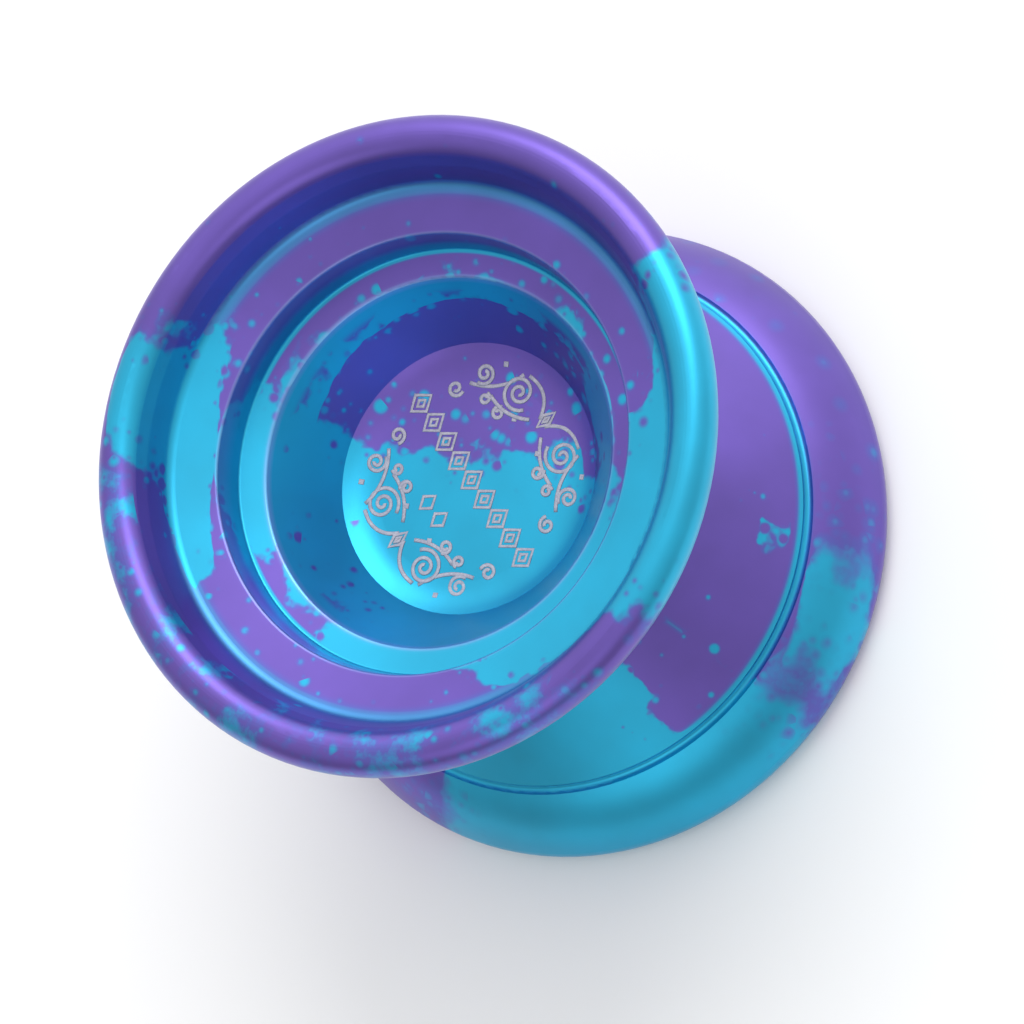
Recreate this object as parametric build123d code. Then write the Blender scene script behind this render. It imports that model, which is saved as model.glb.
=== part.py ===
from build123d import *
import math
import os

# Butterfly yo-yo: two cupped metal halves screwed together on a short axle, with a
# ball bearing for the string between them and a response pad in each inner face.
# Frame: origin at the middle of the bearing, +Z along the axle. Millimetres.

# Rim of each half, as radius and distance from the centre plane
HALF_WIDTH = 20.54          # centre plane to the crest of the rim
CREST_LAND = 0.25           # narrow flat ring that the yo-yo rests on
CREST_OUTER_R = 25.85       # where the flat ring ends and the outer round starts
RIM_ROUND = 1.8             # outer round of the rim
CREST_ROUND = 1.8           # inner round of the rim
RIM_UNDERCUT_DEG = 20       # how far the outer round turns back under the rim

# Steps down the inside of the cup
LIP_EDGE = (23.47, 18.52)
RIM_SLOPE_DEG = 63
BAND_CORNER = (22.6, 16.23)
STEP_TOP = (18.54, 15.46)
STEP_FOOT = (17.99, 12.55)
WALL_TOP = (15.69, 12.1)
WALL_FOOT = (11.58, 5.99)
FLOOR_EDGE_R = 8.6
FLOOR_Z = 5.2
LIP_ROUND = 2.0
BAND_CORNER_ROUND = 1.0
STEP_TOP_ROUND = 0.3
STEP_FOOT_ROUND = 0.25
WALL_TOP_ROUND = 0.3

# Outside of the half, facing the string
GROOVE_OUTER = (23.3, 13.08)
GROOVE_INNER = (22.62, 12.48)
GROOVE_DEPTH = 0.36
CATCH_FOOT_R = 10.5
CATCH_FOOT_ROUND = 2.0
HUB_FACE_Z = 2.25

# Response pad and its recess
PAD_RECESS_IN_R = 7.3
PAD_RECESS_OUT_R = 9.5
PAD_RECESS_Z = 3.45
PAD_SIDE_GAP = 0.05
PAD_FACE_Z = 2.3
PAD_ROUND = 0.2

# Bearing seat in the half
POCKET_R = 6.75
POCKET_Z = 2.75
SHOULDER_R = 4.1
SEAT_R = 3.15
SEAT_END_Z = 0.05
SEAT_CHAMFER = 0.15

# Screw axle, a socket set screw
AXLE_R = 2.0
AXLE_LENGTH = 9.0
AXLE_CHAMFER = 0.4
AXLE_HOLE_R = 2.03
AXLE_HOLE_Z = 4.6
HEX_KEY = 2.0
HEX_DEPTH = 2.2
HOLE_CHAMFER = 0.25

# Ball bearing, 1/4 x 1/2 x 3/16 inch
BEARING_BORE_R = 3.175
BEARING_OUTER_R = 6.35
BEARING_HALF_WIDTH = 2.38
BALL_R = 0.79375
PITCH_R = 4.7625
BALL_COUNT = 10
BALL_CLEARANCE = 0.01
RACEWAY_R = 0.83
INNER_LAND_R = 4.15
OUTER_LAND_R = 5.4
RACE_CHAMFER = 0.2

# Shields and the snap rings that hold them in the outer race
SHIELD_SEAT_R = 5.75
SHIELD_SEAT_Z = 1.85
SHIELD_THICKNESS = 0.2
SHIELD_IN_R = 4.32
SHIELD_SIDE_GAP = 0.03
SNAP_GROOVE_R = 5.95
SNAP_GROOVE_END_Z = 2.29
SNAP_IN_R = 5.5
SNAP_GAP_DEG = 36

# Crown cage that spaces the balls
CAGE_IN_R = 4.42
CAGE_OUT_R = 5.12
CAGE_BACK_Z = -1.3
CAGE_FRONT_Z = 0.45
CAGE_POCKET_R = 0.85


def turned(section):
    """Revolve a radius-and-height section about the axle."""
    return revolve(Plane.XZ * section, Axis.Z)


def ring(inner_r, outer_r, low_z, high_z):
    """Section of a plain ring."""
    width, height = outer_r - inner_r, high_z - low_z
    return Pos(inner_r, low_z) * Rectangle(width, height, align=(Align.MIN, Align.MIN))


def round_corner(section, corner, radius):
    """Fillet the section's vertex nearest to a corner point."""
    return fillet(section.vertices().sort_by_distance((*corner, 0))[0], radius)


def rim_outline():
    """Rim from the lip's edge over the crest to the string side, and its end point."""
    crest_in_r = CREST_OUTER_R - CREST_LAND
    slope = math.radians(RIM_SLOPE_DEG)
    slope_top = (
        crest_in_r - CREST_ROUND * math.sin(slope),
        HALF_WIDTH - CREST_ROUND * (1 - math.cos(slope)),
    )
    undercut = math.radians(RIM_UNDERCUT_DEG)
    under_rim = (
        CREST_OUTER_R + RIM_ROUND * math.cos(undercut),
        HALF_WIDTH - RIM_ROUND * (1 + math.sin(undercut)),
    )
    crest_in = (crest_in_r, HALF_WIDTH)
    crest_out = (CREST_OUTER_R, HALF_WIDTH)
    back_under = (-math.sin(undercut), -math.cos(undercut))
    return [
        Line(LIP_EDGE, slope_top),
        RadiusArc(slope_top, crest_in, CREST_ROUND),
        Line(crest_in, crest_out),
        TangentArc(crest_out, under_rim, tangent=(1, 0)),
        TangentArc(under_rim, GROOVE_OUTER, tangent=back_under),
    ]


def cup_outline():
    """Inside of the cup, from the axis up its steps to the lip's edge."""
    floor_edge = (FLOOR_EDGE_R, FLOOR_Z)
    return [
        Line((0, FLOOR_Z), floor_edge),
        TangentArc(floor_edge, WALL_FOOT, tangent=(1, 0)),
        Polyline(WALL_FOOT, WALL_TOP, STEP_FOOT, STEP_TOP, BAND_CORNER, LIP_EDGE),
    ]


def string_outline():
    """String side, from the rim's groove down the catch wall to the axis."""
    catch_foot = (CATCH_FOOT_R, HUB_FACE_Z)
    return [
        SagittaArc(GROOVE_OUTER, GROOVE_INNER, -GROOVE_DEPTH),
        Polyline(
            GROOVE_INNER, catch_foot,
            (PAD_RECESS_OUT_R, HUB_FACE_Z), (PAD_RECESS_OUT_R, PAD_RECESS_Z),
            (PAD_RECESS_IN_R, PAD_RECESS_Z), (PAD_RECESS_IN_R, HUB_FACE_Z),
            (POCKET_R, HUB_FACE_Z), (POCKET_R, POCKET_Z),
            (SHOULDER_R, POCKET_Z), (SHOULDER_R, BEARING_HALF_WIDTH),
            (SEAT_R, BEARING_HALF_WIDTH), (SEAT_R, SEAT_END_Z + SEAT_CHAMFER),
            (SEAT_R - SEAT_CHAMFER, SEAT_END_Z), (AXLE_HOLE_R + HOLE_CHAMFER, SEAT_END_Z),
            (AXLE_HOLE_R, SEAT_END_Z + HOLE_CHAMFER), (AXLE_HOLE_R, AXLE_HOLE_Z),
            (0, AXLE_HOLE_Z), (0, FLOOR_Z),
        ),
    ]


def half():
    """One half of the body, with its cup opening towards +Z."""
    section = make_face(Curve() + cup_outline() + rim_outline() + string_outline())
    section = round_corner(section, LIP_EDGE, LIP_ROUND)
    section = round_corner(section, BAND_CORNER, BAND_CORNER_ROUND)
    section = round_corner(section, STEP_TOP, STEP_TOP_ROUND)
    section = round_corner(section, STEP_FOOT, STEP_FOOT_ROUND)
    section = round_corner(section, WALL_TOP, WALL_TOP_ROUND)
    section = round_corner(section, (CATCH_FOOT_R, HUB_FACE_Z), CATCH_FOOT_ROUND)
    return turned(section)


def response_pad():
    """Soft ring that lies on the floor of its recess, just below the hub face."""
    section = ring(
        PAD_RECESS_IN_R + PAD_SIDE_GAP, PAD_RECESS_OUT_R - PAD_SIDE_GAP, PAD_FACE_Z, PAD_RECESS_Z
    )
    front_corners = section.vertices().group_by(Axis.Y)[0]
    return turned(fillet(front_corners, PAD_ROUND))


def axle():
    """Set screw with a hexagon socket in its upper end."""
    rod = Cylinder(AXLE_R, AXLE_LENGTH)
    rod = chamfer(rod.edges().filter_by(GeomType.CIRCLE), AXLE_CHAMFER)
    hexagon = RegularPolygon(HEX_KEY / 2, 6, major_radius=False)
    return rod - Pos(0, 0, AXLE_LENGTH / 2 - HEX_DEPTH) * extrude(hexagon, HEX_DEPTH)


def raceway(contact_r, side):
    """Section of the ball track, whose deepest point is at contact_r."""
    return Pos(contact_r - side * RACEWAY_R, 0) * Circle(RACEWAY_R)


def inner_race():
    section = ring(BEARING_BORE_R, INNER_LAND_R, -BEARING_HALF_WIDTH, BEARING_HALF_WIDTH)
    section = chamfer(section.vertices(), RACE_CHAMFER)
    return turned(section - raceway(PITCH_R - BALL_R - BALL_CLEARANCE, -1))


def outer_race():
    section = ring(OUTER_LAND_R, BEARING_OUTER_R, -BEARING_HALF_WIDTH, BEARING_HALF_WIDTH)
    section = chamfer(section.vertices().group_by(Axis.X)[-1], RACE_CHAMFER)
    section -= raceway(PITCH_R + BALL_R + BALL_CLEARANCE, 1)
    groove_start = SHIELD_SEAT_Z + SHIELD_THICKNESS
    for side in (-1, 1):
        seat = sorted((side * SHIELD_SEAT_Z, side * BEARING_HALF_WIDTH))
        groove = sorted((side * groove_start, side * SNAP_GROOVE_END_Z))
        section -= ring(OUTER_LAND_R, SHIELD_SEAT_R, *seat)
        section -= ring(OUTER_LAND_R, SNAP_GROOVE_R, *groove)
    return turned(section)


def shield():
    """Thin washer that closes the upper side of the bearing."""
    return turned(ring(
        SHIELD_IN_R, SHIELD_SEAT_R - SHIELD_SIDE_GAP,
        SHIELD_SEAT_Z, SHIELD_SEAT_Z + SHIELD_THICKNESS,
    ))


def snap_ring():
    """Open wire ring that keeps the upper shield in its seat."""
    groove_start = SHIELD_SEAT_Z + SHIELD_THICKNESS
    section = ring(
        SNAP_IN_R, SNAP_GROOVE_R - SHIELD_SIDE_GAP, groove_start, SNAP_GROOVE_END_Z - SHIELD_SIDE_GAP
    )
    return Rot(0, 0, SNAP_GAP_DEG / 2) * revolve(Plane.XZ * section, Axis.Z, 360 - SNAP_GAP_DEG)


def ball_place(index):
    """Location of one ball on the pitch circle."""
    return Rot(0, 0, index * 360 / BALL_COUNT) * Pos(PITCH_R, 0, 0)


def ball_cage():
    """Crown ring whose pockets snap over the balls from below."""
    crown = turned(ring(CAGE_IN_R, CAGE_OUT_R, CAGE_BACK_Z, CAGE_FRONT_Z))
    pocket = Rot(0, 90, 0) * Cylinder(CAGE_POCKET_R, 2)
    for index in range(BALL_COUNT):
        crown -= ball_place(index) * pocket
    return crown


def mirrored(shape):
    """The same piece for the bottom half."""
    return mirror(shape, Plane.XY)


def all_parts():
    body, pad, cover, clip = half(), response_pad(), shield(), snap_ring()
    parts = {
        "top_half": body,
        "bottom_half": mirrored(body),
        "axle": axle(),
        "top_response_pad": pad,
        "bottom_response_pad": mirrored(pad),
        "bearing_inner_race": inner_race(),
        "bearing_outer_race": outer_race(),
        "bearing_ball_cage": ball_cage(),
        "top_bearing_shield": cover,
        "bottom_bearing_shield": mirrored(cover),
        "top_snap_ring": clip,
        "bottom_snap_ring": mirrored(clip),
    }
    for index in range(BALL_COUNT):
        parts[f"bearing_ball_{index + 1:02d}"] = ball_place(index) * Sphere(BALL_R)
    return parts


os.makedirs("parts", exist_ok=True)
for name, solid in all_parts().items():
    export_step(solid, f"parts/{name}.step")
    print(f"{name}: {solid.volume:.1f} mm3")
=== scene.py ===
import math
from collections import namedtuple

import bpy
from mathutils import Matrix, Vector


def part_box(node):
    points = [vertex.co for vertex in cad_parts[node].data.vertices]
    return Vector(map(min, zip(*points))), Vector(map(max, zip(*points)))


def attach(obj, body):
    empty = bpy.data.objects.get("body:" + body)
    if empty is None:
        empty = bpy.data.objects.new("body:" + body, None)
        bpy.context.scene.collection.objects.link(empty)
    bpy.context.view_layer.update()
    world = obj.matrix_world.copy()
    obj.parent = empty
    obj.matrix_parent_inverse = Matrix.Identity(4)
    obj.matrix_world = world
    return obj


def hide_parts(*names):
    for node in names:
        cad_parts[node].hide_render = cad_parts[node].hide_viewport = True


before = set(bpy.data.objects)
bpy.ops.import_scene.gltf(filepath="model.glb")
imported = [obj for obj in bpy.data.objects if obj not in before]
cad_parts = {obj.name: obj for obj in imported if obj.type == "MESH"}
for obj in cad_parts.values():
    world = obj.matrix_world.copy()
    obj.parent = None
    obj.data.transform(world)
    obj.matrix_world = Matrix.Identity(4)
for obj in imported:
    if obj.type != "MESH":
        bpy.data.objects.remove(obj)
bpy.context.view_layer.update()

# Sizes are in millimetres and angles in degrees; MM turns them into the scene's metres
MM = 0.001

# Floor of each cup: a flat disc that rises along a round from its edge
CUP_FLOOR = 5.2
CUP_FLOOR_EDGE = 8.6
CUP_FOOT_ROUND = 6.01

# Other radii of a half
CUP_WALL_R = 15.6           # top of the cup's wall
LIP_R = 23.0                # inner edge of the lip
RIM_R = 27.65               # widest point, where the cup side turns into the string side
UNROLLED = 2 * RIM_R        # longest unrolled radius: see unroll()

# Laser ornament
ORNAMENT_LINE = 0.36        # width of a line
ORNAMENT_PROUD = 0.025      # height of a line above the floor
ORNAMENT_LAYER = 0.04       # crossing lines lie this far apart before they are flattened
ORNAMENT_LAYERS = 5
ORNAMENT_HEADING = -116     # turn of the whole ornament
ORNAMENT_MERGE = 0.0001     # gap closed between a line's end caps and its sides
ROW_PITCH = 2.12            # from one diamond of the middle row to the next
SHORT_ROW_PITCH = 1.9
SHORT_ROW_PLACE = -4.2      # from the middle row to the row of two diamonds beside it

# Axle: a set screw, M4 x 0.7
AXLE_R = 2.0
THREAD_PITCH = 0.7
THREAD_DEPTH = 0.38
THREAD_SINK = 0.15          # how far the ridge's foot is sunk into the core
HALF_FOOT = 0.43            # half of the ridge's width at its foot, in pitches
HALF_CREST = 0.07           # and at its crest
AXLE_SIDES = 64
STEPS_PER_TURN = 32
HEX_KEY = 2.0
HEX_DEPTH = 2.2


# --- Small helpers ------------------------------------------------------------------------


def linear(hex_colour):
    """sRGB hex to linear RGBA."""
    channels = [int(hex_colour[i:i + 2], 16) / 255 for i in (1, 3, 5)]
    return [c / 12.92 if c <= 0.04045 else ((c + 0.055) / 1.055) ** 2.4 for c in channels] + [1.0]


def add(tree, kind, *inputs, at=None, stops=None, **settings):
    """Add a shader node. Inputs go by position, or by name in at; each is a value or a link."""
    node = tree.nodes.new("ShaderNode" + kind)
    for key, value in settings.items():
        setattr(node, key, value)
    if stops:
        marks = node.color_ramp.elements
        marks.remove(marks[1])
        marks[0].position, marks[0].color = stops[0]
        for place, colour in stops[1:]:
            marks.new(place).color = colour
    for socket, given in list(enumerate(inputs)) + list((at or {}).items()):
        if isinstance(given, bpy.types.Node):
            given = given.outputs[0]
        if isinstance(given, bpy.types.NodeSocket):
            tree.links.new(given, node.inputs[socket])
        else:
            node.inputs[socket].default_value = given
    return node


def new_material(name):
    """Material with a plain Principled shader, and its node tree."""
    material = bpy.data.materials.new(name)
    material.use_nodes = True
    tree = material.node_tree
    return material, tree, tree.nodes["Principled BSDF"]


def select_only(piece):
    """Make a piece the only selected one, and the active one."""
    bpy.ops.object.select_all(action="DESELECT")
    bpy.context.view_layer.objects.active = piece
    piece.select_set(True)


# --- Splash anodising: where a spot is ----------------------------------------------------

# A cone inside the metal parts the cup side of a half from its string side
CONE_SLOPE = 0.8
CONE_START = -3.6
CONE_FLOOR = 4.0

Where = namedtuple("Where", "radius unrolled place angle")


def unroll(tree, spot, flip):
    """Where a spot lies on its half. Flip is -1 for the half whose cup opens downwards.

    The unrolled radius is the plain radius on the cup side. On the string side it goes on
    past the rim and grows towards the axle. Place is the unrolled radius from 0 to 1.
    """
    x, y, z = add(tree, "SeparateXYZ", spot).outputs
    height = add(tree, "Math", z, float(flip), operation="MULTIPLY")
    square = add(tree, "Math", x, x, operation="MULTIPLY")
    square = add(tree, "Math", y, y, square, operation="MULTIPLY_ADD")
    radius = add(tree, "Math", square, operation="SQRT")
    cone = add(tree, "Math", radius, CONE_SLOPE, CONE_START, operation="MULTIPLY_ADD")
    cone = add(tree, "Math", cone, CONE_FLOOR, operation="MAXIMUM")
    string_side = add(tree, "Math", height, cone, operation="LESS_THAN")
    to_rim = add(tree, "Math", RIM_R, radius, operation="SUBTRACT")
    past_rim = add(tree, "Math", to_rim, string_side, operation="MULTIPLY")
    unrolled = add(tree, "Math", past_rim, 2.0, radius, operation="MULTIPLY_ADD")
    place = add(tree, "Math", unrolled, 1 / UNROLLED, operation="MULTIPLY")
    angle = add(tree, "Math", y, x, operation="ARCTAN2")
    angle = add(tree, "Math", angle, math.degrees(1), operation="MULTIPLY")
    return Where(radius, unrolled, place, angle)


def by_radius(tree, where, stops, low=0.0, high=1.0):
    """Value from low to high that follows the unrolled radius, by stops of radius and value."""
    span = high - low
    ramp = [(t / UNROLLED, ((value - low) / span,) * 3 + (1,)) for t, value in stops]
    level = add(tree, "ValToRGB", where.place, stops=ramp)
    return add(tree, "Math", level, span, low, operation="MULTIPLY_ADD")


def splash(tree, where, outline):
    """Millimetres inside a splash. Its outline has rows of unrolled radius, heading, half-angle."""
    heading = by_radius(tree, where, [(t, heading) for t, heading, half in outline], -360.0, 360.0)
    half = by_radius(tree, where, [(t, half) for t, heading, half in outline], -180.0, 180.0)
    off = add(tree, "Math", where.angle, heading, operation="SUBTRACT")
    off = add(tree, "Math", off, 180.0, -180.0, operation="WRAP")
    off = add(tree, "Math", off, operation="ABSOLUTE")
    inside = add(tree, "Math", half, off, operation="SUBTRACT")
    inside = add(tree, "Math", inside, math.radians(1), operation="MULTIPLY")
    return add(tree, "Math", inside, where.radius, operation="MULTIPLY")


def cup_splash(tree, spot, where, heading, line):
    """Millimetres inside the cyan of the cup, which ends at a line across the heading.

    Line has rows of radius and of how far along the heading the line lies there.
    """
    turn = math.radians(heading)
    toward = (math.cos(turn), math.sin(turn), 0)
    ahead = add(tree, "VectorMath", spot, toward, operation="DOT_PRODUCT").outputs["Value"]
    limit = by_radius(tree, where, line, -30.0, 30.0)
    inside = add(tree, "Math", limit, ahead, operation="SUBTRACT")
    below_wall_top = add(tree, "Math", CUP_WALL_R, where.unrolled, operation="SUBTRACT")
    return add(tree, "Math", inside, below_wall_top, operation="MINIMUM")


# --- Splash anodising: drops and specks ---------------------------------------------------

DROP_SPACING = 1.2
DROP_R = 0.6                # largest drop of cyan
SPECK_R = 0.5               # largest speck of violet
SPECK_SHIFT = (31.0, 17.0, 5.0)
MIST_SPACING = 3.6          # drops that lie alone, far from any splash
MIST_R = 0.4
DROP_STEEPNESS = 2.0        # how steeply a drop turns into the dye round it
LARGEST_GROWTH = 0.1        # most that drops and specks grow by near a splash's edge

# What drops and specks grow by: at the edge of a splash, per millimetre inside it, and by area
DROP_AT_EDGE = 0.08
DROP_INWARDS = 0.08
DROP_IN_CUP = 0.29
DROP_ON_LIP = -0.16
SPECK_AT_EDGE = 0.42
SPECK_INWARDS = -0.18
SPECK_ON_STRING_SIDE = -0.3


def droplets(tree, spot, spacing, largest):
    """Millimetres inside round drops, one to a cell. The cube makes most of them small."""
    cells = add(tree, "TexVoronoi", at={"Vector": spot, "Scale": 1 / spacing})
    size = add(tree, "SeparateColor", cells.outputs["Color"])
    size = add(tree, "Math", size, 3.0, operation="POWER")
    size = add(tree, "Math", size, largest, operation="MULTIPLY")
    reach = add(tree, "Math", cells.outputs["Distance"], spacing, operation="MULTIPLY")
    return add(tree, "Math", size, reach, operation="SUBTRACT")


def speckled(tree, seeded, where, cyan):
    """Drops of cyan on the violet, and specks of violet on the cyan, most of them near an edge."""
    drops = droplets(tree, seeded, DROP_SPACING, DROP_R)
    growth = add(tree, "Math", cyan, DROP_INWARDS, DROP_AT_EDGE, operation="MULTIPLY_ADD")
    in_cup = add(tree, "Math", CUP_WALL_R, where.unrolled, operation="SUBTRACT", use_clamp=True)
    growth = add(tree, "Math", in_cup, DROP_IN_CUP, growth, operation="MULTIPLY_ADD")
    on_lip = add(tree, "Math", where.unrolled, LIP_R, operation="GREATER_THAN")
    growth = add(tree, "Math", on_lip, DROP_ON_LIP, growth, operation="MULTIPLY_ADD")
    growth = add(tree, "Math", growth, LARGEST_GROWTH, operation="MINIMUM")
    drops = add(tree, "Math", drops, growth)
    mist = droplets(tree, seeded, MIST_SPACING, MIST_R)
    drops = add(tree, "Math", drops, mist, operation="MAXIMUM")
    drops = add(tree, "Math", drops, DROP_STEEPNESS, operation="MULTIPLY")
    cyan = add(tree, "Math", cyan, drops, operation="MAXIMUM")

    shifted = add(tree, "VectorMath", seeded, SPECK_SHIFT, operation="ADD")
    specks = droplets(tree, shifted, DROP_SPACING, SPECK_R)
    growth = add(tree, "Math", cyan, SPECK_INWARDS, SPECK_AT_EDGE, operation="MULTIPLY_ADD")
    past_rim = add(tree, "Math", where.unrolled, RIM_R, operation="GREATER_THAN")
    growth = add(tree, "Math", past_rim, SPECK_ON_STRING_SIDE, growth, operation="MULTIPLY_ADD")
    growth = add(tree, "Math", growth, LARGEST_GROWTH, operation="MINIMUM")
    specks = add(tree, "Math", specks, growth)
    specks = add(tree, "Math", specks, -DROP_STEEPNESS, operation="MULTIPLY")
    return add(tree, "Math", cyan, specks, operation="MINIMUM")


# --- Splash anodising: the metal ----------------------------------------------------------

RAGGED_SIZE = 3.8           # size of the bites in a splash's edge
RAGGED_REACH = 4.5          # most that the edge moves by
CLOUD_SIZE = 3.2            # size of the blots in the mottled stretch
CLOUD_DEPTH = 4.6           # how steeply the noise crosses from one dye to the other there
CLOUD_LEVEL = -2.75         # a higher level gives more cyan
DRIFT_SIZE = 9.0            # size of the slow changes in the dye's depth
BLAST_SIZE = 0.12           # size of the dimples that the blasting left
EDGE_SHARE = 0.5            # share of cyan right at a splash's edge

# Rows of unrolled radius and value
CORNER_CYAN_AND_PAINTED_LIGHT = [                 # inner corners, where cyan gathers all the way round, with painted light in two of them (see the rows below)
    (0.0, 0), (14.4, 0), (15.1, 1.0), (15.55, 0.9), (15.8, 0),
    (17.6, 0), (17.75, 1), (18.12, 1), (18.3, 0),
    # From 21.3 to 23.0: half-share blue, partly cyan gathered in the corner between flat band and lip,
    # partly a painted highlight along that corner
    (21.3, 0), (21.9, 0.5), (22.6, 0.6), (23.0, 0),
    # From 32.05 to 32.35: blue at a third share, painted shade on the outer wall of the string side's
    # groove; cyan gathers from 32.45 on
    (31.9, 0), (32.05, 0.3), (32.35, 0.4), (32.45, 1), (32.8, 1), (33.2, 0),
]
HIGHLIGHTED_EDGES = [             # turned edges, with a pale painted highlight along each
    (15.35, 0), (15.5, 0.5), (15.85, 0.5), (16.0, 0),
    (18.3, 0), (18.4, 0.5), (18.65, 0.5), (18.8, 0),
]
BLENDS = [                  # width of the blend between the two dyes
    (0.0, 1.0), (23.5, 1.0), (24.5, 1.3), (27.0, 1.5), (28.2, 4.0), (31.3, 4.0), (32.0, 0.8),
]
WIDEST_BLEND = 4.0

# Pale blue of the painted highlight along the turned edges
PAINTED_EDGE_HIGHLIGHT = "#86A6E4"
DYES = [(0.0, "#6850B0"), (0.3, "#585CB6"), (0.55, "#3C86C4"), (0.8, "#12A4CE"), (1.0, "#0CAAD2")]


def anodised(name, flip, splashes, cup, mottled, seed):
    """Bead-blasted aluminium, splash-anodised: violet dye with ragged splashes of cyan.

    The eye gets a satin metal sheen under a thin glassy skin that turns pale at the edges.
    Cup is the heading and line for cup_splash(), and seed sets the noise of one half apart.
    """
    material, tree, shader = new_material(name)
    coords = add(tree, "TexCoord").outputs["Object"]
    spot = add(tree, "VectorMath", coords, operation="SCALE", at={"Scale": 1 / MM})
    seeded = add(tree, "VectorMath", spot, (seed, 0, 0), operation="ADD")
    where = unroll(tree, spot, flip)

    # Millimetres inside the cyan, with ragged edges
    cyan = cup_splash(tree, spot, where, *cup)
    for outline in splashes:
        cyan = add(tree, "Math", cyan, splash(tree, where, outline), operation="MAXIMUM")
    ragged = add(tree, "TexNoise", at={
        "Vector": seeded, "Scale": 1 / RAGGED_SIZE, "Detail": 3.0, "Roughness": 0.5,
    })
    ragged = add(tree, "Math", ragged, 2 * RAGGED_REACH, -RAGGED_REACH, operation="MULTIPLY_ADD")
    cyan = add(tree, "Math", ragged, cyan)

    # Stretch where the two dyes ran into each other
    cloud = add(tree, "TexNoise", at={
        "Vector": seeded, "Scale": 1 / CLOUD_SIZE, "Detail": 4.0, "Roughness": 0.6,
    })
    cloud = add(tree, "Math", cloud, CLOUD_DEPTH, CLOUD_LEVEL, operation="MULTIPLY_ADD")
    mottling = add(tree, "Math", splash(tree, where, mottled), cloud, operation="MINIMUM")
    cyan = add(tree, "Math", cyan, mottling, operation="MAXIMUM")
    cyan = speckled(tree, seeded, where, cyan)

    blend = by_radius(tree, where, BLENDS, 0.0, WIDEST_BLEND)
    amount = add(tree, "Math", cyan, blend, operation="DIVIDE")
    amount = add(tree, "Math", amount, EDGE_SHARE, use_clamp=True)
    # Cyan gathered in inner corners, plus a painted highlight along the band's outer corner and painted
    # shade in the string side's groove
    amount = add(tree, "Math", amount, by_radius(tree, where, CORNER_CYAN_AND_PAINTED_LIGHT), operation="MAXIMUM")
    dye = add(tree, "ValToRGB", amount, stops=[(share, linear(tone)) for share, tone in DYES])
    # Painted highlight: the turned edges are mixed towards a pale blue
    dye = add(tree, "MixRGB", by_radius(tree, where, HIGHLIGHTED_EDGES), dye, linear(PAINTED_EDGE_HIGHLIGHT))
    drift = add(tree, "TexNoise", at={"Vector": seeded, "Scale": 1 / DRIFT_SIZE, "Detail": 3.0})
    drift = add(tree, "Math", drift, 0.5, 0.75, operation="MULTIPLY_ADD")
    dye = add(tree, "HueSaturation", at={"Color": dye, "Value": drift})
    tree.links.new(dye.outputs[0], shader.inputs["Base Color"])

    blast = add(tree, "TexNoise", at={"Vector": spot, "Scale": 1 / BLAST_SIZE, "Detail": 2.0})
    gloss = add(tree, "Math", blast, 0.12, 0.33, operation="MULTIPLY_ADD")
    tree.links.new(gloss.outputs[0], shader.inputs["Roughness"])
    shader.inputs["Metallic"].default_value = 0.9
    shader.inputs["Coat Weight"].default_value = 0.42
    shader.inputs["Coat Roughness"].default_value = 0.42
    shader.inputs["Coat IOR"].default_value = 1.7
    bump = add(tree, "Bump", at={"Height": blast, "Strength": 0.12, "Distance": 0.02 * MM})
    tree.links.new(bump.outputs[0], shader.inputs["Normal"])
    return material


def top_finish():
    """Three splashes that cross the cup and the lip, and a mottled stretch of lip."""
    return anodised(
        "splash_anodised_top", 1,
        splashes=[
            [(14, 119, 24), (18, 119, 25), (18.8, 116, 4), (20.2, 115, 29), (22.4, 116, 33),
             (22.9, 107, 15), (26.7, 106, 11), (27.0, 104, -4), (27.6, 98, 7), (29, 94, 12),
             (33, 92, -12)],
            [(11.6, -44, -10), (12.4, -44, 6), (13.4, -44, 15), (15.7, -44, 19), (16.2, -44, -8)],
            [(14, -125, 62), (18, -136, 50), (18.6, -98, 40), (21, -91, 39), (23.2, -72, 40),
             (25, -63, 34), (28, -63, 34), (34, -80, 50), (46, -95, 60)],
        ],
        cup=(24, [(0, 3.0), (9.9, 3.0), (11.0, -1.8), (12.6, -2.7), (13.6, 4), (14.3, 14.3),
                  (15.2, 28)]),
        mottled=[(23.2, 183, 0), (24.2, 183, 60), (28, 183, 64), (33, 183, 40)],
        seed=4.0,
    )


def bottom_finish():
    """A broad splash down the string side, a small one on the rim, and a mottled stretch there."""
    return anodised(
        "splash_anodised_bottom", -1,
        splashes=[
            [(14, 100, 40), (24, 110, 40), (27, -138, 38), (32.2, -138, 40), (33, -152, 34),
             (40, -153, 34), (45, -155, 32)],
            [(27.0, -82, -6), (28.0, -82, 11), (31.0, -81, 12), (32.5, -70, -4), (33.5, -67, 3),
             (35.5, -65, 1), (36.2, -65, -8), (46, -65, -20)],
        ],
        cup=(200, [(0, -2.0), (9.9, -2.0), (11.0, -4.0), (12.6, -3.0), (13.6, 3), (14.3, 14.3),
                   (15.2, 28)]),
        mottled=[(26.0, -100, 0), (28, -101, 12), (31, -101, 12), (33, -100, 0)],
        seed=57.0,
    )


# --- Other finishes -----------------------------------------------------------------------


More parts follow.
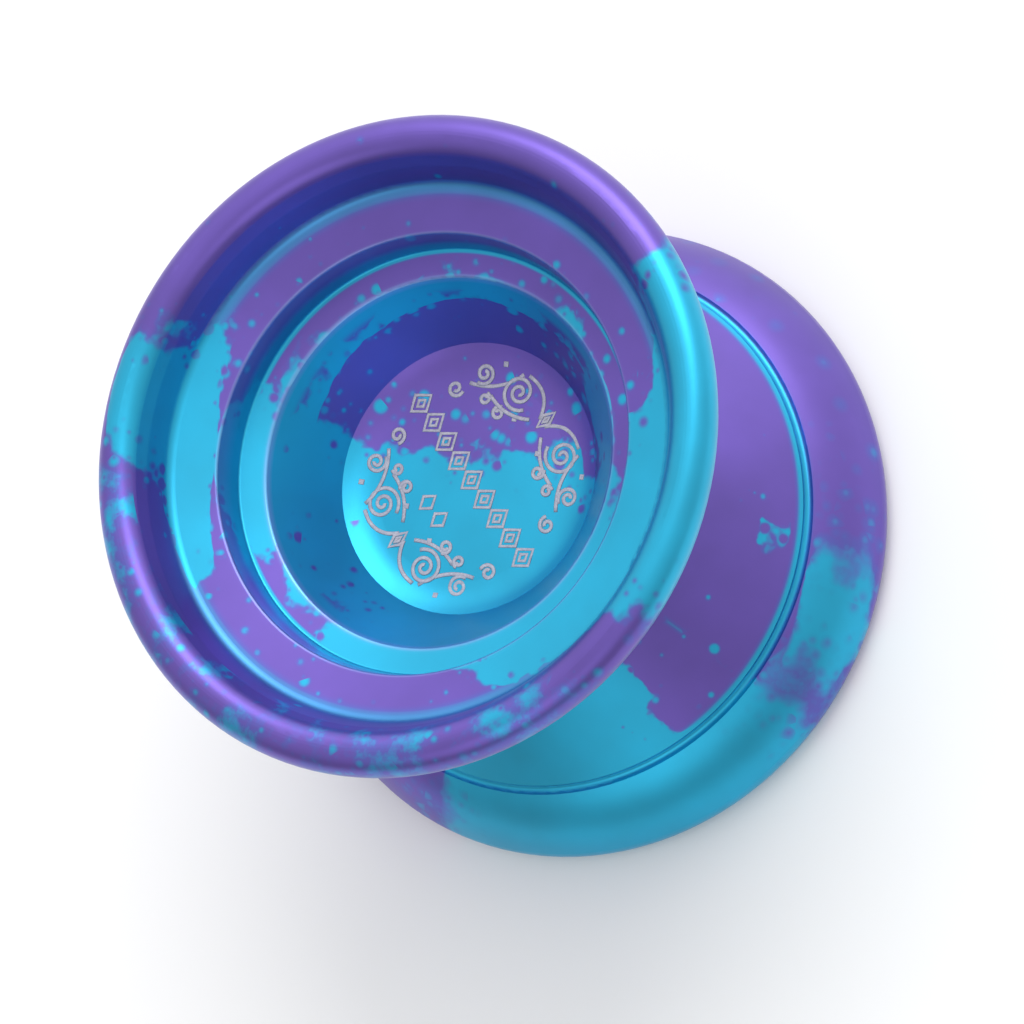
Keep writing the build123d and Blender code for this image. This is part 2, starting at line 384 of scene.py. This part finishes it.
def silicone():
    """Moulded silicone: soft, milky and slightly see-through, with a fine matt skin."""
    material, tree, shader = new_material("moulded_silicone")
    coords = add(tree, "TexCoord").outputs["Object"]
    cloud = add(tree, "TexNoise", at={"Vector": coords, "Scale": 1 / (2.5 * MM), "Detail": 3.0})
    tone = add(tree, "ValToRGB", cloud, stops=[(0.3, linear("#D9DDE0")), (0.7, linear("#ECEEF0"))])
    tree.links.new(tone.outputs[0], shader.inputs["Base Color"])
    skin = add(tree, "TexNoise", at={"Vector": coords, "Scale": 1 / (0.15 * MM), "Detail": 2.0})
    bump = add(tree, "Bump", at={"Height": skin, "Strength": 0.25, "Distance": 0.02 * MM})
    tree.links.new(bump.outputs[0], shader.inputs["Normal"])
    shader.inputs["Roughness"].default_value = 0.55
    shader.inputs["IOR"].default_value = 1.41
    shader.inputs["Subsurface Weight"].default_value = 0.3
    shader.inputs["Subsurface Scale"].default_value = 0.8 * MM
    return material


STEEL_SPREAD = 0.15         # how much the roughness varies along the grain


def steel(name, tones, roughness, grain, stretch):
    """Steel with a grain of a size in millimetres, drawn out along the axle by stretch."""
    material, tree, shader = new_material(name)
    coords = add(tree, "TexCoord").outputs["Object"]
    drawn = add(tree, "Mapping", coords, at={"Scale": (1, 1, 1 / stretch)})
    lines = add(tree, "TexNoise", at={"Vector": drawn, "Scale": 1 / (grain * MM), "Detail": 3.0})
    tone = add(tree, "ValToRGB", lines, stops=[(0.3, linear(tones[0])), (0.7, linear(tones[1]))])
    tree.links.new(tone.outputs[0], shader.inputs["Base Color"])
    smoothest = roughness - STEEL_SPREAD / 2
    gloss = add(tree, "Math", lines, STEEL_SPREAD, smoothest, operation="MULTIPLY_ADD")
    tree.links.new(gloss.outputs[0], shader.inputs["Roughness"])
    bump = add(tree, "Bump", at={"Height": lines, "Strength": 0.15, "Distance": 0.01 * MM})
    tree.links.new(bump.outputs[0], shader.inputs["Normal"])
    shader.inputs["Metallic"].default_value = 1.0
    return material


def ground_steel():
    """Chrome steel, ground in the lathe: rings of fine lines that catch a bright streak."""
    return steel("ground_chrome_steel", ("#84878B", "#A9ACB0"), 0.26, 0.25, 0.2)


def lapped_steel():
    """Chrome steel, lapped to a mirror: almost no grain."""
    return steel("lapped_chrome_steel", ("#CFD1D4", "#DADCDE"), 0.1, 0.4, 1)


def pressed_steel():
    """Stainless sheet, pressed and tumbled: pale, even and a little cloudy."""
    return steel("pressed_stainless_steel", ("#AEB0B2", "#C6C8CA"), 0.36, 0.5, 1)


def spring_steel():
    """Drawn spring wire: darker than the sheet, with lines along the wire."""
    return steel("drawn_spring_steel", ("#85878B", "#A6A8AC"), 0.3, 0.2, 1)


def black_oxide_steel():
    """Alloy steel with a black oxide skin: near black, satin, brown where it is thin."""
    return steel("black_oxide_steel", ("#2A2826", "#45413C"), 0.42, 0.3, 1)


def nylon():
    """Moulded glass-filled nylon: warm off-white with faint flow marks."""
    material, tree, shader = new_material("moulded_nylon")
    coords = add(tree, "TexCoord").outputs["Object"]
    flow = add(tree, "TexNoise", at={"Vector": coords, "Scale": 1 / (0.9 * MM), "Detail": 4.0})
    tone = add(tree, "ValToRGB", flow, stops=[(0.35, linear("#CFC9B8")), (0.65, linear("#DED9CB"))])
    tree.links.new(tone.outputs[0], shader.inputs["Base Color"])
    bump = add(tree, "Bump", at={"Height": flow, "Strength": 0.15, "Distance": 0.02 * MM})
    tree.links.new(bump.outputs[0], shader.inputs["Normal"])
    shader.inputs["Roughness"].default_value = 0.5
    shader.inputs["IOR"].default_value = 1.53
    return material


def laser_mark():
    """Anodising bleached by a laser: the dye is gone, and fine scan lines leave a dull, pale grey."""
    material, tree, shader = new_material("laser_bleached_anodising")
    coords = add(tree, "TexCoord").outputs["Object"]
    scan = add(tree, "TexNoise", at={"Vector": coords, "Scale": 1 / (0.12 * MM), "Detail": 2.0})
    worn = add(tree, "TexNoise", at={"Vector": coords, "Scale": 1 / (0.5 * MM), "Detail": 4.0})
    both = add(tree, "Math", scan, worn, operation="MULTIPLY")
    tone = add(tree, "ValToRGB", both, stops=[(0.1, linear("#A29FB0")), (0.4, linear("#C4C1CA"))])
    tree.links.new(tone.outputs[0], shader.inputs["Base Color"])
    bump = add(tree, "Bump", at={"Height": worn, "Strength": 0.2, "Distance": 0.01 * MM})
    tree.links.new(bump.outputs[0], shader.inputs["Normal"])
    shader.inputs["Roughness"].default_value = 0.7
    shader.inputs["Metallic"].default_value = 0.3
    return material


# --- Laser ornament on the cup floors -----------------------------------------------------


def polar(reach, heading):
    """Point of the cup floor, with the heading in degrees from the middle of a scroll group."""
    turn = math.radians(heading)
    return Vector((reach * math.sin(turn), reach * math.cos(turn)))


def scroll(middle, size, turns, end, hand):
    """Points of a spiral that runs out from its middle to the heading end. Hand is 1 or -1."""
    count = int(24 * turns)
    eye = max(0.1 * size, 0.6 * ORNAMENT_LINE)      # wide enough for the line not to cross itself
    points = []
    for step in range(count + 1):
        share = step / count
        angle = end - hand * 360 * turns * (1 - share)
        points.append(middle + polar(eye + (size - eye) * share ** 1.2, angle))
    return points


def stem(start, finish, bend):
    """Points of an even curve from start to finish, bowed sideways by bend."""
    along = finish - start
    control = (start + finish) / 2 + Vector((-along.y, along.x)).normalized() * 2 * bend
    points = []
    for step in range(13):
        share = step / 12
        points.append(start * (1 - share) ** 2 + control * 2 * share * (1 - share) + finish * share ** 2)
    return points


def diamond(middle, width, height):
    """Corners of a diamond."""
    x, y = middle
    return [(x - width / 2, y), (x, y - height / 2), (x + width / 2, y), (x, y + height / 2)]


def ornament_lines():
    """Open scrolls and closed diamonds: a row through the middle, with scrollwork on both sides."""
    scrolls, diamonds = [], []
    for hand in (1, -1):
        scrolls += [
            scroll(polar(8.3, 25 * hand), 1.6, 2.1, 250 * hand, hand),
            scroll(polar(9.1, 49 * hand), 0.95, 1.6, 190 * hand, -hand),
            scroll(polar(8.2, 67 * hand), 0.75, 1.3, -60 * hand, hand),
            scroll(polar(6.0, 33 * hand), 0.6, 1.3, 20 * hand, -hand),
            scroll(polar(7.0, 47 * hand), 0.5, 1.2, 30 * hand, hand),
            stem(polar(7.7, 3 * hand), polar(9.9, 24 * hand), 0.8 * hand),
            stem(polar(7.0, 8 * hand), polar(7.3, 43 * hand), -0.5 * hand),
            stem(polar(9.8, 27 * hand), polar(8.4, 58 * hand), -0.6 * hand),
        ]
        diamonds += [diamond(polar(10.1, 38 * hand), 0.3, 0.3), diamond(polar(6.2, 18 * hand), 0.3, 0.3)]
    diamonds += [diamond(polar(8.1, 0), 1.0, 2.0), diamond(polar(8.1, 0), 0.3, 0.8)]
    scrolls += [[-point for point in points] for points in scrolls]
    diamonds += [[(-x, -y) for x, y in points] for points in diamonds]
    for place in range(-4, 5):
        diamonds.append(diamond((ROW_PITCH * place, 0), 1.8, 2.2))
        diamonds.append(diamond((ROW_PITCH * place, 0), 0.7, 0.9))
    for place in (-0.5, 0.5):
        diamonds.append(diamond((SHORT_ROW_PITCH * place, SHORT_ROW_PLACE), 1.3, 1.7))
    return scrolls, diamonds


def laser_ornament():
    """Ornament on the floor of the top cup, a hair proud of it, and the same on the bottom cup."""
    curve = bpy.data.curves.new("top_laser_ornament", "CURVE")
    curve.dimensions = "3D"
    curve.bevel_depth = ORNAMENT_LINE / 2 * MM
    curve.bevel_resolution = 1
    curve.use_fill_caps = True
    scrolls, diamonds = ornament_lines()
    lines = [(points, False) for points in scrolls] + [(points, True) for points in diamonds]
    for index, (points, closed) in enumerate(lines):
        layer = ORNAMENT_LAYER * (index % ORNAMENT_LAYERS)
        spline = curve.splines.new("POLY")
        spline.points.add(len(points) - 1)
        for knot, (x, y) in zip(spline.points, points):
            knot.co = (x * MM, y * MM, layer * MM, 1)
        spline.use_cyclic_u = closed
    top = bpy.data.objects.new("top_laser_ornament", curve)
    bpy.context.scene.collection.objects.link(top)
    select_only(top)
    bpy.ops.object.convert(target="MESH")
    bpy.ops.object.mode_set(mode="EDIT")
    bpy.ops.mesh.select_all(action="SELECT")
    bpy.ops.mesh.remove_doubles(threshold=ORNAMENT_MERGE * MM)
    bpy.ops.mesh.normals_make_consistent(inside=False)
    bpy.ops.object.mode_set(mode="OBJECT")
    top.scale.z = 2 * ORNAMENT_PROUD / ORNAMENT_LINE
    top.rotation_euler.z = math.radians(ORNAMENT_HEADING)
    top.location.z = CUP_FLOOR * MM
    bpy.ops.object.transform_apply(location=True, rotation=True, scale=True)
    for vertex in top.data.vertices:
        past = max(0.0, vertex.co.xy.length / MM - CUP_FLOOR_EDGE)
        rise = CUP_FOOT_ROUND - math.sqrt(CUP_FOOT_ROUND ** 2 - past ** 2)
        vertex.co.z += rise * MM
    bottom = bpy.data.objects.new("bottom_laser_ornament", top.data.copy())
    bpy.context.scene.collection.objects.link(bottom)
    bottom.data.transform(Matrix.Rotation(math.pi, 4, "X"))
    mark = laser_mark()
    for piece, body in ((top, "top_half"), (bottom, "bottom_half")):
        piece.data.materials.append(mark)
        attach(piece, body)


# --- Threaded axle ------------------------------------------------------------------------


def join_shape(piece, tool, operation):
    """Join a tool to a piece, or cut it out, and delete the tool."""
    cut = piece.modifiers.new("cut", "BOOLEAN")
    cut.operation = operation
    cut.object = tool
    cut.solver = "EXACT"
    select_only(piece)
    bpy.ops.object.modifier_apply(modifier="cut")
    bpy.data.objects.remove(tool)


def thread_ridge(low, high):
    """Ridge of the thread: a profile wound up along a helix, from low to high."""
    foot, crest = AXLE_R - THREAD_DEPTH - THREAD_SINK, AXLE_R
    half_foot, half_crest = HALF_FOOT * THREAD_PITCH, HALF_CREST * THREAD_PITCH
    bpy.ops.object.select_all(action="DESELECT")
    bpy.ops.mesh.primitive_plane_add(size=1, location=(0, 0, 0))
    ridge = bpy.context.object
    corners = [(foot, -half_foot), (crest, -half_crest), (foot, half_foot), (crest, half_crest)]
    for vertex, (radius, height) in zip(ridge.data.vertices, corners):
        vertex.co = (radius * MM, 0, (low + height) * MM)
    bpy.ops.object.mode_set(mode="EDIT")
    bpy.ops.mesh.select_all(action="SELECT")
    bpy.ops.mesh.delete(type="ONLY_FACE")
    bpy.ops.object.mode_set(mode="OBJECT")
    turns = math.ceil((high - low) / THREAD_PITCH)
    wind = ridge.modifiers.new("wind", "SCREW")
    wind.angle = math.tau * turns
    wind.screw_offset = THREAD_PITCH * MM * turns
    wind.steps = wind.render_steps = STEPS_PER_TURN * turns
    bpy.ops.object.modifier_apply(modifier="wind")
    bpy.ops.object.mode_set(mode="EDIT")
    bpy.ops.mesh.select_all(action="SELECT")
    bpy.ops.mesh.fill_holes(sides=4)
    bpy.ops.mesh.normals_make_consistent(inside=False)
    bpy.ops.object.mode_set(mode="OBJECT")
    return ridge


def cylinder(radius, low, high, sides):
    """Plain cylinder on the axis, in millimetres."""
    bpy.ops.object.select_all(action="DESELECT")
    bpy.ops.mesh.primitive_cylinder_add(
        vertices=sides, radius=radius * MM, depth=(high - low) * MM,
        location=(0, 0, (low + high) / 2 * MM),
    )
    bpy.ops.object.transform_apply(location=True, rotation=True, scale=True)
    return bpy.context.object


def threaded_axle():
    """Set screw with a real helix and a hexagon socket in its upper end."""
    low, high = (corner[2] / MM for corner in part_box("axle"))
    screw = cylinder(AXLE_R - THREAD_DEPTH, low - 1, high + 1, AXLE_SIDES)
    join_shape(screw, thread_ridge(low - THREAD_PITCH, high + THREAD_PITCH), "UNION")
    bpy.ops.object.mode_set(mode="EDIT")
    for height, drop_above in ((high, True), (low, False)):
        bpy.ops.mesh.select_all(action="SELECT")
        bpy.ops.mesh.bisect(
            plane_co=(0, 0, height * MM), plane_no=(0, 0, 1), use_fill=True,
            clear_outer=drop_above, clear_inner=not drop_above, threshold=1e-7,
        )
    bpy.ops.object.mode_set(mode="OBJECT")
    corner_r = HEX_KEY / math.sqrt(3)
    join_shape(screw, cylinder(corner_r, high - HEX_DEPTH, high + 1, 6), "DIFFERENCE")
    screw.name = screw.data.name = "threaded_axle"
    bpy.ops.object.shade_smooth_by_angle(angle=math.radians(30))
    screw.data.materials.clear()
    screw.data.materials.append(black_oxide_steel())
    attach(screw, "bottom_half")
    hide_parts("axle")


# --- Camera, floor and light --------------------------------------------------------------


# The lens looks down on the yo-yo from the -Y side, rolled until the axle runs down to the right
LENS = 228.5
CAMERA_AIM = (-0.79, -1.59, -0.83)
CAMERA_DISTANCE = 545.4
CAMERA_ELEVATION = 62.37
CAMERA_ROLL = -62.24

# Studio: brightest beside and a little above the +X side, and dim opposite
BRIGHT_SIDE = (0.78, 0.38, 0.50)
STUDIO_LEVELS = [(0.0, 0.18), (0.3, 0.30), (0.5, 0.50), (0.75, 0.60), (1.0, 0.95)]
STUDIO_STRENGTH = 1.42
FLOOR_WIDTH = 5000


def make_camera():
    """Long lens at the set elevation, distance and roll about the aim."""
    data = bpy.data.cameras.new("camera")
    data.lens = LENS
    data.sensor_width = 36
    data.clip_start = 0.01
    data.clip_end = 10
    camera = bpy.data.objects.new("camera", data)
    bpy.context.scene.collection.objects.link(camera)
    tilt = Matrix.Rotation(math.radians(90 - CAMERA_ELEVATION), 4, "X")
    roll = Matrix.Rotation(math.radians(CAMERA_ROLL), 4, "Z")
    back_off = Matrix.Translation(Vector((0, 0, CAMERA_DISTANCE)) * MM)
    camera.matrix_world = Matrix.Translation(Vector(CAMERA_AIM) * MM) @ tilt @ roll @ back_off
    bpy.context.scene.camera = camera


def area_light(name, place, size, power):
    """Soft white light of a size, at a place, that faces the yo-yo."""
    data = bpy.data.lights.new(name, "AREA")
    data.shape = "DISK"
    data.size = size * MM
    data.energy = power
    lamp = bpy.data.objects.new(name, data)
    bpy.context.scene.collection.objects.link(lamp)
    lamp.location = Vector(place) * MM
    lamp.rotation_euler = (-Vector(place)).to_track_quat("-Z", "Y").to_euler()


def make_world():
    """Pale studio whose glow follows how near a direction is to the bright side."""
    world = bpy.data.worlds.new("studio")
    bpy.context.scene.world = world
    world.use_nodes = True
    tree = world.node_tree
    coords = add(tree, "TexCoord")
    facing = add(tree, "VectorMath", coords.outputs["Generated"], BRIGHT_SIDE, operation="DOT_PRODUCT")
    facing = add(tree, "Math", facing.outputs["Value"], 0.5, 0.5, operation="MULTIPLY_ADD")
    stops = [(place, (level, level, level, 1)) for place, level in STUDIO_LEVELS]
    glow = add(tree, "ValToRGB", facing, stops=stops)
    tree.links.new(glow.outputs[0], tree.nodes["Background"].inputs["Color"])
    tree.nodes["Background"].inputs["Strength"].default_value = STUDIO_STRENGTH


def make_floor():
    """Wide sheet of matt white paper right under the yo-yo."""
    bpy.ops.object.select_all(action="DESELECT")
    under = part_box("bottom_half")[0][2]
    bpy.ops.mesh.primitive_plane_add(size=FLOOR_WIDTH * MM, location=(0, 0, under))
    floor = bpy.context.object
    floor.name = "floor"
    paper, tree, shader = new_material("matt_paper")
    shader.inputs["Base Color"].default_value = linear("#FAFAFA")
    shader.inputs["Roughness"].default_value = 0.8
    floor.data.materials.append(paper)


bpy.context.scene.view_settings.view_transform = "Standard"
make_camera()
make_world()
area_light("key", place=(440, 120, 530), size=480, power=1.9)
area_light("fill", place=(-420, -260, 480), size=520, power=0.6)
make_floor()

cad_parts["top_half"].material_slots[0].material = top_finish()
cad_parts["bottom_half"].material_slots[0].material = bottom_finish()

# Finish of every other node whose name holds the word; ball_cage has to come before ball_
finishes = {
    "response_pad": silicone(), "_race": ground_steel(), "ball_cage": nylon(),
    "shield": pressed_steel(), "snap_ring": spring_steel(), "ball_": lapped_steel(),
}
for name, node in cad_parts.items():
    for word, material in finishes.items():
        if word in name:
            node.material_slots[0].material = material
            break
laser_ornament()
threaded_axle()
